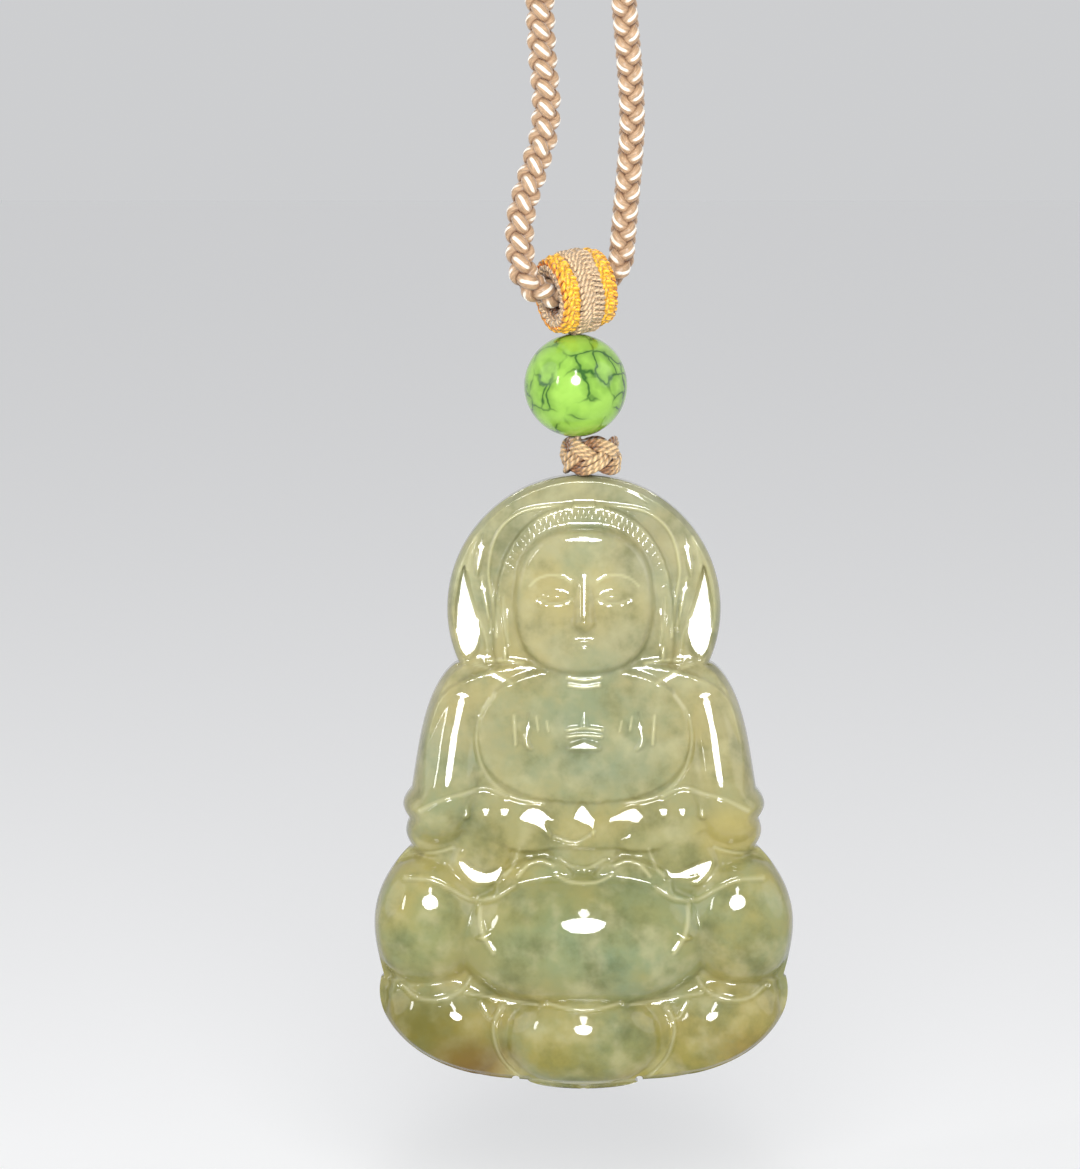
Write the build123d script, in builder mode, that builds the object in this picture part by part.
from build123d import *
import math
import os

# Jade pendant necklace: a seated figure carved in jade hangs from a woven
# ring that runs on a braided silk neck cord. All sizes are in millimetres.
# The origin is the underside of the cord at the back of the neck, +Z is up
# and the carved front faces -Y. The ring and the bead hang at x = 0.

# Neck cord
cord_diameter = 2.6
loop_height = 258.0
neck_radius = 58.0
neck_corners = 14

# Woven ring on the cord
ring_radius = 2.95
ring_bore_radius = 1.75
ring_length = 4.4
ring_edge_radius = 0.55
ring_turn = 24.0
ring_tip = 10.0
crown_rise = 0.25
crown_width = 1.8
wrap_width = 0.9
wrap_depth = 0.4
wrap_proud = 0.1
soft_gap = 0.05

# Bead and the thread through it
bead_diameter = 8.0
bead_bore = 1.4
thread_diameter = 1.0
thread_seat = 0.6

# Knot under the bead
knot_radius = 2.5
knot_height = 2.85
knot_round = 0.9
knot_shift = 1.1

# Thread loop that carries the jade
loop_thread = 0.8
loop_bend = 0.7
loop_entry_bend = 0.45
loop_stand_off = 0.25
drill_diameter = 1.4
drill_depth = 3.4

# Jade
jade_width = 32.6
jade_height = 47.9
jade_thickness = 7.8
jade_rim = 2.4
jade_rim_round = 4.2
jade_back_chamfer = 0.4
jade_shift = 0.65
jade_set_back = 3.1
jade_columns = 48

os.makedirs("parts", exist_ok=True)


# Places down the hanging line. Heights in the route are above the ring.
ring_z = cord_diameter / 2 - loop_height
crown_radius = ring_radius + crown_rise
bead_radius = bead_diameter / 2
bead_z = ring_z - crown_radius - 2 * soft_gap - bead_radius
knot_top_z = bead_z - bead_radius - soft_gap
knot_bottom_z = knot_top_z - knot_height
jade_top_z = knot_bottom_z - soft_gap
drill_y = jade_set_back - jade_rim / 2
knot_y = drill_y / 2

ring_direction = Vector(1, 0, 0).rotate(Axis.Y, -ring_tip).rotate(Axis.Z, ring_turn)
ring_centre = Vector(0, 0, ring_z)
ring_axis = Axis(ring_centre, ring_direction)
ring_side = Vector(0, 0, 1).cross(ring_direction)
ring_frame = Plane(ring_centre, x_dir=ring_direction, z_dir=ring_side)


# Neck cord: one closed loop, here one side and then the other from the ring
# up to the neck. Columns are x, y and the height above the ring.
left_strand = [
    (-3.87, -1.72, -0.75),
    (-4.55, -1.70, 5.2),
    (-3.30, -1.00, 9.2),
    (-2.05, -0.50, 13.3),
    (-2.75, -0.20, 19.3),
    (-2.80, 0.00, 28.0),
    (-5.00, 0.00, 43.0),
    (-10.8, 0.00, 64.0),
    (-21.6, 0.00, 95.0),
    (-39.8, 0.00, 145.5),
    (-51.2, 0.00, 174.5),
]
right_strand = [
    (3.42, 1.52, 0.66),
    (3.75, 1.50, 5.1),
    (4.15, 1.00, 9.3),
    (4.45, 0.50, 13.6),
    (3.95, 0.20, 19.8),
    (3.20, 0.00, 28.0),
    (5.20, 0.00, 43.0),
    (10.8, 0.00, 64.0),
    (21.6, 0.00, 95.0),
    (39.8, 0.00, 145.5),
    (51.2, 0.00, 174.5),
]


def neck_arc():
    """Corners of the round stretch behind the neck, from left to right."""
    span = math.radians(218)
    step = span / neck_corners
    corner_radius = neck_radius / math.cos(step / 2)
    centre_height = loop_height - neck_radius
    corners = []
    for number in range(neck_corners):
        angle = math.radians(90) + span / 2 - step * (number + 0.5)
        x = corner_radius * math.cos(angle)
        height = centre_height + corner_radius * math.sin(angle)
        corners.append((x, 0.0, height))
    return corners


def bend_radii(corners):
    """Radius at each corner of the closed route, as large as its runs allow."""
    radii = []
    for number, corner in enumerate(corners):
        before = corner - corners[number - 1]
        after = corners[(number + 1) % len(corners)] - corner
        half_turn = math.radians(before.get_angle(after) / 2)
        shorter = min(before.length, after.length)
        radii.append(0.45 * shorter / math.tan(half_turn))
    return radii


arc_corners = neck_arc()
left_half = left_strand + arc_corners[: neck_corners // 2]
right_half = right_strand + arc_corners[: neck_corners // 2 - 1: -1]
route_heights = left_half + right_half[::-1]
route = [Vector(x, y, height + ring_z) for x, y, height in route_heights]
radii = bend_radii(route)
route_top = (route[len(left_half) - 1] + route[len(left_half)]) / 2
route_bottom = (route[0] + route[-1]) / 2
halves = (
    (route[: len(left_half)], radii[: len(left_half)]),
    (route[: len(left_half) - 1: -1], radii[: len(left_half) - 1: -1]),
)
cord_length = 0.0

with BuildPart() as neck_cord:
    for corners, corner_radii in halves:
        with BuildLine() as half_line:
            FilletPolyline(route_bottom, *corners, route_top, radius=corner_radii)
        half_path = half_line.wire()
        with BuildSketch(Plane(half_path @ 0, z_dir=half_path % 0)):
            Circle(cord_diameter / 2)
        sweep(path=half_path)
        cord_length += half_path.length
neck_cord.part.label = "neck_cord"
export_step(neck_cord.part, "parts/neck_cord.step")

section_area = math.pi * (cord_diameter / 2) ** 2
print("cord length", round(cord_length, 1))
print("cord radii", [round(radius, 1) for radius in radii])
print("cord volume", round(neck_cord.part.volume, 1), "section by length", round(section_area * cord_length, 1))


# Woven ring: cream silk, rounded at both mouths, with a raised middle band
# and a groove each side of it that the gold thread is wound in.
wrap_middle = (crown_width + wrap_width) / 2

with BuildPart() as bail_ring:
    with BuildSketch(ring_frame):
        with Locations((0, (ring_radius + ring_bore_radius) / 2)):
            RectangleRounded(ring_length, ring_radius - ring_bore_radius, ring_edge_radius)
        with Locations((0, ring_radius)):
            RectangleRounded(crown_width, 2 * crown_rise, 0.9 * crown_rise)
        with Locations((-wrap_middle, ring_radius), (wrap_middle, ring_radius)):
            Rectangle(wrap_width, 2 * wrap_depth, mode=Mode.SUBTRACT)
    revolve(axis=ring_axis)
    with Locations((0, 0, ring_z - crown_radius)):
        Cylinder(thread_diameter / 2 + soft_gap, 2 * (thread_seat + soft_gap), mode=Mode.SUBTRACT)
bail_ring.part.label = "bail_ring"
export_step(bail_ring.part, "parts/bail_ring.step")


def gold_wrap(middle):
    """Gold thread wound round the ring, in its groove."""
    inside = ring_radius - wrap_depth + soft_gap
    outside = ring_radius + wrap_proud
    width = wrap_width - 2 * soft_gap
    with BuildPart() as wrap:
        with BuildSketch(ring_frame):
            with Locations((middle, (inside + outside) / 2)):
                RectangleRounded(width, outside - inside, 0.4 * (outside - inside))
        revolve(axis=ring_axis)
    return wrap


for wrap_name, wrap_side in (("bail_wrap_left", -1), ("bail_wrap_right", 1)):
    wrap = gold_wrap(wrap_side * wrap_middle)
    wrap.part.label = wrap_name
    export_step(wrap.part, "parts/" + wrap_name + ".step")


# Bead: a ball drilled through, with the edges of the hole eased.
bead_place = (0, 0, bead_z)

with BuildPart() as bead:
    with Locations(bead_place):
        Sphere(bead_radius)
        Cylinder(bead_bore / 2, bead_diameter, mode=Mode.SUBTRACT)
    chamfer(bead.edges().filter_by(GeomType.CIRCLE), 0.1)
bead.part.label = "bead"
export_step(bead.part, "parts/bead.step")


# Thread through the bead, from a seat in the ring to a seat in the knot.
thread_top_z = ring_z - crown_radius + thread_seat
thread_bottom_z = knot_top_z - thread_seat

with BuildPart() as bead_thread:
    with BuildSketch(Plane.XY.offset(thread_bottom_z)):
        Circle(thread_diameter / 2)
    extrude(amount=thread_top_z - thread_bottom_z)
bead_thread.part.label = "bead_thread"
export_step(bead_thread.part, "parts/bead_thread.step")


# Knot: a plump barrel with a hole on top for the bead's thread, and one
# below and one behind for the ends of the loop that carries the jade.
loop_back_y = jade_set_back + loop_stand_off + loop_thread / 2
loop_turn_z = jade_top_z - drill_depth
loop_end_z = knot_bottom_z + thread_seat
loop_entry_z = knot_bottom_z + knot_height / 3
loop_hole = loop_thread / 2 + soft_gap

with BuildPart() as lower_knot:
    with BuildSketch(Plane.XZ.offset(-knot_y)):
        with Locations((knot_shift, (knot_top_z + knot_bottom_z) / 2)):
            RectangleRounded(2 * knot_radius, knot_height, knot_round)
        split(bisect_by=Plane.YZ.offset(knot_shift))
    revolve(axis=Axis((knot_shift, knot_y, 0), (0, 0, 1)))
    with Locations((0, 0, knot_top_z)):
        Cylinder(thread_diameter / 2 + soft_gap, 2 * (thread_seat + soft_gap), mode=Mode.SUBTRACT)
    with Locations((jade_shift, drill_y, knot_bottom_z)):
        Cylinder(loop_hole, 2 * (thread_seat + soft_gap), mode=Mode.SUBTRACT)
    with Locations(Location((jade_shift, knot_y + knot_radius, loop_entry_z), (90, 0, 0))):
        Cylinder(loop_hole, 2 * (thread_seat + soft_gap), mode=Mode.SUBTRACT)
lower_knot.part.label = "lower_knot"
export_step(lower_knot.part, "parts/lower_knot.step")


# Loop of thread: out of the knot, down the hole in the jade's top edge, out
# of its back and up again behind it into the knot.
with BuildPart() as hanging_loop:
    with BuildLine() as loop_line:
        FilletPolyline(
            (jade_shift, drill_y, loop_end_z),
            (jade_shift, drill_y, loop_turn_z),
            (jade_shift, loop_back_y, loop_turn_z),
            (jade_shift, loop_back_y, loop_entry_z),
            (jade_shift, knot_y + knot_radius - thread_seat, loop_entry_z),
            radius=(loop_bend, loop_bend, loop_entry_bend),
        )
    loop_path = loop_line.wire()
    with BuildSketch(Plane(loop_path @ 0, z_dir=loop_path % 0)):
        Circle(loop_thread / 2)
    sweep(path=loop_path)
hanging_loop.part.label = "hanging_loop"
export_step(hanging_loop.part, "parts/hanging_loop.step")


# Jade carving. Its outline is worked out row by row from the top: a round
# aureole, then arms, elbows, cuffs and knees as bulges between notches,
# then the lotus petals and the lip under them. Every length is a share of
# the jade's half width, height or thickness.
aureole_end = 0.304
aureole_drop = 0.217
aureole_wide = 0.6515
petal_wide = 0.975
petal_top = 0.839
petal_end = 0.985
petal_foot = 0.27
lip_wide = petal_foot

# Columns are where a bulge ends, its half width there, how far its belly
# stands out and where the belly lies (under 1 is nearer the top).
bulges = {
    "arm": (0.509, 0.822, 0.0675, 0.6),
    "elbow": (0.557, 0.8325, 0.034, 1.0),
    "cuff": (0.603, 0.818, 0.0215, 1.0),
    "knee": (0.818, 0.951, 0.1135, 0.85),
}

# Raised forms of the relief. Columns are the middle across and down, half
# width, half height, the depth at the foot and at the crest, the turn in
# degrees and how square the form is (2 is an ellipse).
forms = {
    "aureole": (0, 0.213, 0.71, 0.234, 0.31, 0.49, 0, 2.0),
    "veil": (0, 0.247, 0.62, 0.207, 0.44, 0.62, 0, 2.1),
    "veil_fold": (0.50, 0.215, 0.085, 0.080, 0.44, 0.63, -14, 2.0),
    "veil_side": (0.57, 0.262, 0.090, 0.070, 0.40, 0.58, 10, 2.0),
    "hair": (0, 0.218, 0.42, 0.164, 0.50, 0.77, 0, 2.2),
    "hair_side": (0.375, 0.262, 0.065, 0.060, 0.50, 0.70, 6, 2.0),
    "head": (0, 0.203, 0.32, 0.119, 0.55, 0.95, 0, 2.1),
    "nose": (0, 0.215, 0.050, 0.036, 0.92, 1.0, 0, 2.0),
    "shoulders": (0, 0.451, 0.773, 0.154, 0.31, 0.640, 0, 2.8),
    "chest": (0, 0.422, 0.503, 0.112, 0.62, 0.780, 0, 2.2),
    "lapel": (0.27, 0.409, 0.037, 0.048, 0.64, 0.82, -6, 2.0),
    "upper_arm": (0.655, 0.435, 0.220, 0.144, 0.31, 0.78, 5, 2.3),
    "elbow": (0.755, 0.528, 0.11, 0.0355, 0.31, 0.54, 0, 2.0),
    "cuff": (0.748, 0.578, 0.104, 0.031, 0.31, 0.53, 0, 2.0),
    "waist": (0, 0.616, 0.736, 0.084, 0.31, 0.600, 0, 2.6),
    "forearm": (0.515, 0.568, 0.335, 0.052, 0.40, 0.81, 4, 2.3),
    "hand": (0.200, 0.570, 0.245, 0.044, 0.55, 0.88, -12, 2.2),
    "palms": (0, 0.584, 0.200, 0.055, 0.55, 0.93, 0, 2.0),
    "sleeve_hem": (0.490, 0.637, 0.180, 0.056, 0.45, 0.80, 14, 2.1),
    "knee": (0.736, 0.724, 0.276, 0.109, 0.31, 0.81, 0, 2.1),
    "lap": (0, 0.747, 0.60, 0.111, 0.45, 1.0, 0, 2.3),
    "lap_fold": (0.235, 0.657, 0.190, 0.042, 0.50, 0.86, -10, 2.0),
    "seat": (0, 0.856, 0.945, 0.134, 0.31, 0.54, 0, 2.4),
    "petal_side": (0.65, 0.889, 0.38, 0.0856, 0.31, 0.72, 24, 2.2),
    "petal_mid": (0, 0.906, 0.43, 0.0856, 0.31, 0.86, 0, 2.4),
    "lip": (0, 0.973, 0.294, 0.031, 0.20, 0.41, 0, 3.0),
}
dome_power = 2.2


def half_width(drop):
    """Half width of the jade at a share of its height below the top."""
    if drop <= aureole_end:
        return aureole_wide * math.sqrt(1 - (1 - drop / aureole_drop) ** 2)
    start, start_width = aureole_end, half_width(aureole_end)
    for end, end_width, belly, lean in bulges.values():
        if drop <= end:
            along = (drop - start) / (end - start)
            bulge = belly * math.sin(math.pi * along**lean)
            return start_width + (end_width - start_width) * along + bulge
        start, start_width = end, end_width
    if drop <= petal_end:
        along = (drop - petal_top) / (petal_end - petal_top)
        return petal_foot + (petal_wide - petal_foot) * math.sqrt(1 - along**2)
    along = (drop - petal_end) / (1 - petal_end)
    return lip_wide * math.sqrt(1 - along**2)


def form_depth(across, down):
    """Depth of the relief at a place, before its rim is rounded over."""
    half = jade_width / 2
    depth = jade_rim
    for middle, low, wide, high, foot, crest, turn, square in forms.values():
        for side in (1, -1) if middle else (1,):
            dx = across - side * middle * half
            dz = low * jade_height - down
            cos_turn = math.cos(math.radians(side * turn))
            sin_turn = math.sin(math.radians(side * turn))
            u = abs(dx * cos_turn + dz * sin_turn) / (wide * half)
            v = abs(dz * cos_turn - dx * sin_turn) / (high * jade_height)
            reach = (u**square + v**square) ** (1 / square)
            if reach < 1:
                dome = math.sqrt(1 - reach**dome_power)
                depth = max(depth, jade_thickness * (foot + (crest - foot) * dome))
    return depth


def row_drops():
    """Rows of the mesh, closer together where the outline turns level."""
    drops = []
    first, last, rows = 8, 116, 25
    for row in range(rows):
        angle = math.radians(first + (last - first) * row / rows)
        drops.append(aureole_drop * (1 - math.cos(angle)))
    start = aureole_end
    for name, rows in (("arm", 14), ("elbow", 4), ("cuff", 4), ("knee", 15)):
        end = bulges[name][0]
        drops += [start + (end - start) * row / rows for row in range(rows)]
        start = end
    petal_rows = 12
    for row in range(petal_rows):
        along = math.sin(math.radians(90) * row / petal_rows)
        drops.append(start + (petal_end - start) * along)
    for along in (0, 0.4, 0.75, 0.95):
        drops.append(petal_end + (1 - petal_end) * along)
    return drops


def rim_depth(distance):
    """Greatest depth at a distance in from the outline, a rounded edge."""
    inward = min(distance / jade_rim_round, 1)
    return jade_rim + (jade_thickness - jade_rim) * math.sqrt(1 - (1 - inward) ** 2)


def outline_loop(drops):
    """Corners of the outline: the top, the right side, the foot, the left side."""
    right = [(half_width(drop) * jade_width / 2, drop * jade_height) for drop in drops]
    left = [(-across, down) for across, down in reversed(right)]
    return [(0, 0)] + right + [(0, jade_height)] + left


def jade_point(across, down, depth):
    """A point of the jade in the frame of the part."""
    return Vector(jade_shift + across, jade_set_back - depth, jade_top_z - down)


def carved_row(drop, outline):
    """Points across the carved front at one height, from left to right."""
    row = []
    down = drop * jade_height
    for column in range(jade_columns + 1):
        across = (2 * column / jade_columns - 1) * half_width(drop) * jade_width / 2
        edge = min(math.dist((across, down), corner) for corner in outline)
        depth = min(form_depth(across, down), rim_depth(edge))
        row.append(jade_point(across, down, depth))
    return row


def split_quad(a, b, c, d):
    """Two triangles over four corners, split along the shorter diagonal."""
    if (a - c).length < (b - d).length:
        return [(a, b, c), (a, c, d)]
    return [(a, b, d), (b, c, d)]


def fan(tip, row):
    """Triangles from one point to a row of points."""
    return [(tip, here, after) for here, after in zip(row, row[1:])]


def band(first, second):
    """Triangles between two closed loops of points."""
    triangles = []
    for number in range(len(first)):
        triangles += split_quad(first[number - 1], first[number], second[number], second[number - 1])
    return triangles


def inset_point(loop, number):
    """A rim point moved in to the flat back by the width of its chamfer."""
    before, here = loop[number - 1], loop[number]
    after = loop[(number + 1) % len(loop)]
    inward = Vector(0, 1, 0).cross(after - before).normalized()
    spot = here + inward * jade_back_chamfer
    return Vector(spot.X, jade_set_back, spot.Z)


def jade_solid():
    """The closed body: carved front, rim wall, chamfer and flat back."""
    drops = row_drops()
    outline = outline_loop(drops)
    rows = [carved_row(drop, outline) for drop in drops]
    crest = jade_point(0, 0, jade_rim)
    foot = jade_point(0, jade_height, jade_rim)
    triangles = fan(crest, rows[0]) + fan(foot, rows[-1])
    for upper, lower in zip(rows, rows[1:]):
        for column in range(jade_columns):
            triangles += split_quad(upper[column], lower[column], lower[column + 1], upper[column + 1])
    front = [crest] + [row[-1] for row in rows] + [foot] + [row[0] for row in rows[::-1]]
    behind = [Vector(spot.X, jade_set_back - jade_back_chamfer, spot.Z) for spot in front]
    back = [inset_point(front, number) for number in range(len(front))]
    triangles += band(front, behind) + band(behind, back)
    faces = [Face(Wire.make_polygon(corners, close=True)) for corners in triangles]
    faces.append(Face(Wire.make_polygon(back, close=True)))
    return Solid(Shell(faces))


with BuildPart() as drilled_way:
    with Locations((jade_shift, drill_y, jade_top_z)):
        Cylinder(drill_diameter / 2, 2 * (drill_depth + drill_diameter / 2))
    with Locations(Location((jade_shift, jade_set_back, loop_turn_z), (90, 0, 0))):
        Cylinder(drill_diameter / 2, jade_rim)

with BuildPart() as jade_pendant:
    add(jade_solid(), clean=False)
    add(drilled_way.part, mode=Mode.SUBTRACT, clean=False)
jade_pendant.part.label = "jade_pendant"
export_step(jade_pendant.part, "parts/jade_pendant.step")

print("jade volume", round(jade_pendant.part.volume), "balance", jade_pendant.part.center(CenterOf.MASS))
